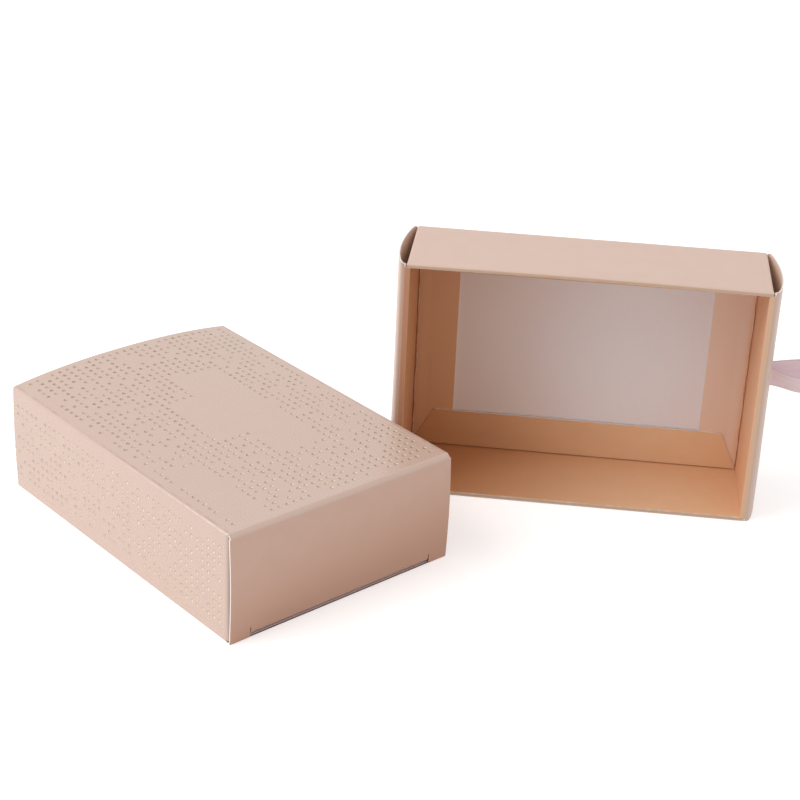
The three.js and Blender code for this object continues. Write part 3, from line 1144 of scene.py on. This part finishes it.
# %% White board
def bare_board(name, tints, fibre, fades=()):
    """Unprinted board that mottles between two tints, with fibres so many mm wide."""
    material, tree, shader = new_material(name, {"Roughness": 0.85, "IOR": 1.45})
    blank = add(tree, "ShaderNodeUVMap", uv_map="blank")
    stretched = add(tree, "ShaderNodeMapping", {"Vector": blank, "Scale": (1, 0.6, 1)})
    fibres = add(tree, "ShaderNodeTexNoise", {
        "Vector": stretched, "Scale": per_mm(fibre), "Detail": 4, "Roughness": 0.6,
    })
    colour = add(tree, "ShaderNodeMix", {
        "Factor": fibres, "A": linear(tints[1]), "B": linear(tints[0]),
    }, data_type="RGBA")
    bump = add(tree, "ShaderNodeBump", {"Height": fibres, "Strength": 0.12, "Distance": 0.0001})
    connect(tree, shader, {"Base Color": faded(tree, blank, colour, fades), "Normal": bump})
    return material


white_back = bare_board("bare_board_back", ("#F0E7E7", "#E8DEDD"), 0.9)
# Painted shade: the floor's back turns warmer and darker towards the left end wall.
painted_floor_shade = (along_blank, 100, 20, "#E0CBC0")
floor_back = bare_board("shade_painted_floor_back", ("#F2EAEB", "#E9E1E2"), 0.9, [painted_floor_shade])
# A warm tan for the back inside the double walls: painted bounce light.
bounce_tinted_back = bare_board("bounce_painted_back", ("#F4DCCB", "#EACBB5"), 2.5)
cut_edge = bare_board("die_cut_edge", ("#FBF8F6", "#F0E9E5"), 0.4)
# Dark brown, painted shade for the low cut edges at the slit and notches of the closed end.
slit_shade_edge = bare_board("shade_painted_cut_edge", ("#7A4A38", "#5E3626"), 0.4)

# %% [markdown]
# ### Satin ribbon
# Satin floats its warp threads over the weft, so the face is smooth and catches light in a long
# soft streak. The threads lie about 0.15 mm apart, too fine to show here. They are drawn coarser:
# pale streaks 1.6 mm wide along the band, and a slow ripple across it. Blender's wave texture
# repeats every math.tau / 20 at scale 1, so at scale 100 a ripple is 3 mm wide. Along the two
# edges the weft turns back and makes a denser selvedge.

# %% Satin
satin, tree, shader = new_material("polyester_satin", {
    "Roughness": 0.42, "Sheen Weight": 0.5, "Sheen Roughness": 0.4,
})
blank = add(tree, "ShaderNodeUVMap", uv_map="blank")
ripples = add(tree, "ShaderNodeTexWave", {
    "Vector": blank, "Scale": 100, "Distortion": 1.5, "Detail": 1,
}, wave_type="BANDS", bands_direction="X")
drawn_out = add(tree, "ShaderNodeMapping", {"Vector": blank, "Scale": (1, 0.12, 1)})
streaks = add(tree, "ShaderNodeTexNoise", {"Vector": drawn_out, "Scale": per_mm(1.6), "Detail": 3})
tint = add(tree, "ShaderNodeMix", {
    "Factor": streaks, "A": linear("#FADFE6"), "B": linear("#FFF4F7"),
}, data_type="RGBA")
side_of_band = add(tree, "ShaderNodeSeparateXYZ", {0: blank}).outputs[0]
from_middle = add(tree, "ShaderNodeMath", {0: side_of_band}, operation="ABSOLUTE")
edge_of_band = ribbon_width / 2
selvedge = add(tree, "ShaderNodeMapRange", {
    "Value": from_middle, "To Max": 0.45,
    "From Min": (edge_of_band - 0.45) * MM, "From Max": (edge_of_band - 0.25) * MM,
})
tint = add(tree, "ShaderNodeMix", {
    "Factor": selvedge, "A": tint, "B": linear("#D2A9B2"),
}, data_type="RGBA")
bump = add(tree, "ShaderNodeBump", {
    "Height": ripples.outputs["Fac"], "Strength": 0.25, "Distance": 0.0001,
})
connect(tree, shader, {"Base Color": tint, "Normal": bump})
print("selvedge starts", edge_of_band - 0.45, "mm from the ribbon's middle")

# %% [markdown]
# ## Dress the frame
# Each sheet now gets its finishes for print, back and cut edge, the body that it moves with, and
# the CAD panels that it stands for. The low cut edges at the closed end get a dark brown finish,
# painted shade for the slit and the notches.

# %% Helpers for finishes and bodies
def dress(piece, finishes, slot, body, *panels):
    for material in finishes:
        piece.data.materials.append(material)
    if body:
        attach(piece, body)
    if panels:
        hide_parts(*panels)


def shade_low_edges(piece, height, in_shade):
    """Gives the cut edges below a height in mm a dark painted shade, where the test holds across and
    along the sleeve.
    """
    c, s = math.cos(sleeve_turn), math.sin(sleeve_turn)
    for face in piece.data.polygons:
        x, y, z = face.center / MM
        if face.material_index == CUT and z < height and in_shade(c * x + s * y, c * y - s * x):
            face.material_index = SHADED_CUT


def bend(piece, body, moving, start, end):
    """Bakes a piece's place into its mesh. The bodies and places that it is given are not used."""
    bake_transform(piece)

# %% Dress the sleeve
dress(sleeve_strip, (sleeve_print, white_back, cut_edge, slit_shade_edge), "printed_card", "sleeve",
      "sleeve_top", "sleeve_bottom", "sleeve_left_side", "sleeve_right_side", "sleeve_glue_flap")
shade_low_edges(sleeve_strip, 2, lambda across, along: along < 0)
flap_finishes = (flap_print, white_back, cut_edge, slit_shade_edge)
dress(end_flap, flap_finishes, "printed_card", "end_closure", "end_flap", "tuck_tab")
shade_low_edges(end_flap, 5, lambda across, along: abs(across) < tab_side + 1)
dress(end_crease, (crease_print, white_back, cut_edge), "printed_card", None)
bend(end_crease, "sleeve", "end_closure",
     in_sleeve(0.0, top_start, sleeve_height), in_sleeve(0.0, -half_length, flap_top))

hinge_height = 25.0
for name, side in (("left", -1), ("right", 1)):
    dust_crease, dust_panel = dust_pieces[name]
    finishes = (dust_print, white_back, cut_edge)
    dress(dust_panel, finishes, "card_back", f"{name}_dust_flap", f"dust_flap_{name}")
    dress(dust_crease, finishes, "card_back", None)
    bend(dust_crease, "sleeve", f"{name}_dust_flap",
         in_sleeve(side * half_width, side_start, hinge_height),
         in_sleeve(side * (half_width - dust_radius), dust_face, hinge_height))

# %% Dress the tray and the ribbon
for level in ("lower", "upper"):
    dress(tray_pieces[f"{level}_skin"], (wall_print, bounce_tinted_back, cut_edge), "printed_card", "tray",
          f"{level}_wall_outer", f"{level}_wall_rim")
    dress(tray_pieces[f"{level}_lining"], (long_lining_print, white_back, cut_edge), "tray_lining",
          "tray", f"{level}_wall_inner", f"{level}_floor_flap")
for name in ("left", "right"):
    dress(tray_pieces[f"{name}_skin"], (shade_painted_end_prints[name], bounce_tinted_back, cut_edge), "printed_card",
          "tray", f"{name}_end_outer", f"{name}_end_rim")
    dress(tray_pieces[f"{name}_lining"], (end_lining_prints[name], bounce_tinted_back, cut_edge), "tray_lining",
          "tray", f"{name}_end_inner", f"{name}_floor_flap")
    for level in ("lower", "upper"):
        dress(tray_pieces[f"{level}_{name}_tab"], (plain_print, bounce_tinted_back, cut_edge), "card_back",
              "tray", f"{level}_{name}_corner_tab")
dress(tray_pieces["floor"], (plain_print, floor_back, cut_edge), "card_back", "tray", "tray_floor")

dress(ribbon_pull, 3 * [satin], "satin_ribbon", None, "ribbon_loop")
dress(ribbon_ends, 3 * [satin], "satin_ribbon", "tray", "ribbon_tails")
bend(ribbon_pull, "tray", "ribbon", *(
    in_tray(slot_skin + out, float(slot_depth), ribbon_middle) for out in (0.2, 4.0)
))
print(len(bpy.data.materials), "materials in the scene")

# %% [markdown]
# ## Table and light
# The photograph was taken in a light tent: a large soft light high on the left and white all
# round. A big area lamp and an even world give that. The table reflects light like white card.
# Where it and the world are seen directly, by the camera or in a reflection, they add the little
# that is missing to pure white, so the shadow stays.

# %% Table
white = (1, 1, 1, 1)


def seen_directly(tree):
    """1 for camera, mirror and see-through rays, and 0 for the rays that light the object."""
    rays = add(tree, "ShaderNodeLightPath").outputs
    seen = rays["Is Camera Ray"]
    for name in ("Is Glossy Ray", "Is Transmission Ray"):
        seen = add(tree, "ShaderNodeMath", {0: seen, 1: rays[name]}, operation="MAXIMUM")
    return seen


reach = 4.0
corners = [(-reach, -reach, 0), (reach, -reach, 0), (reach, reach, 0), (-reach, reach, 0)]
table_mesh = bpy.data.meshes.new("table")
table_mesh.from_pydata(corners, [], [(0, 1, 2, 3)])
table = put("table", table_mesh)
table_white, tree, shader = new_material("white_table", {
    "Base Color": linear("#F4F3F3"), "Roughness": 0.9, "Emission Color": white,
})
lift = add(tree, "ShaderNodeMath", {0: seen_directly(tree), 1: 0.44}, operation="MULTIPLY")
connect(tree, shader, {"Emission Strength": lift})
table.data.materials.append(table_white)
print("table is", 2 * reach, "m wide")

# %% Light
tent_level = 0.62
world = bpy.data.worlds.new("light_tent")
world.use_nodes = True
tent = world.node_tree
strength = add(tent, "ShaderNodeMapRange", {
    "Value": seen_directly(tent), "To Min": tent_level, "To Max": 1,
})
connect(tent, tent.nodes["Background"], {"Color": white, "Strength": strength})
bpy.context.scene.world = world

lamp_place = np.array([-1.29, -0.47, 1.43])
lamp_target = np.array([0.06, 0.02, 0.04])
softbox = bpy.data.lights.new("key_softbox", "AREA")
softbox.shape = "SQUARE"
softbox.size = 1.4
softbox.energy = 20
lamp = put("key_softbox", softbox)
lamp.location = lamp_place
x, y, z = lamp_target - lamp_place
lamp.rotation_euler = (math.atan2(math.hypot(x, y), -z), 0, math.atan2(y, x) - math.pi / 2)
bpy.context.scene.view_settings.view_transform = "Standard"
print("soft light stands", round(math.hypot(x, y, z), 2), "m from the box")
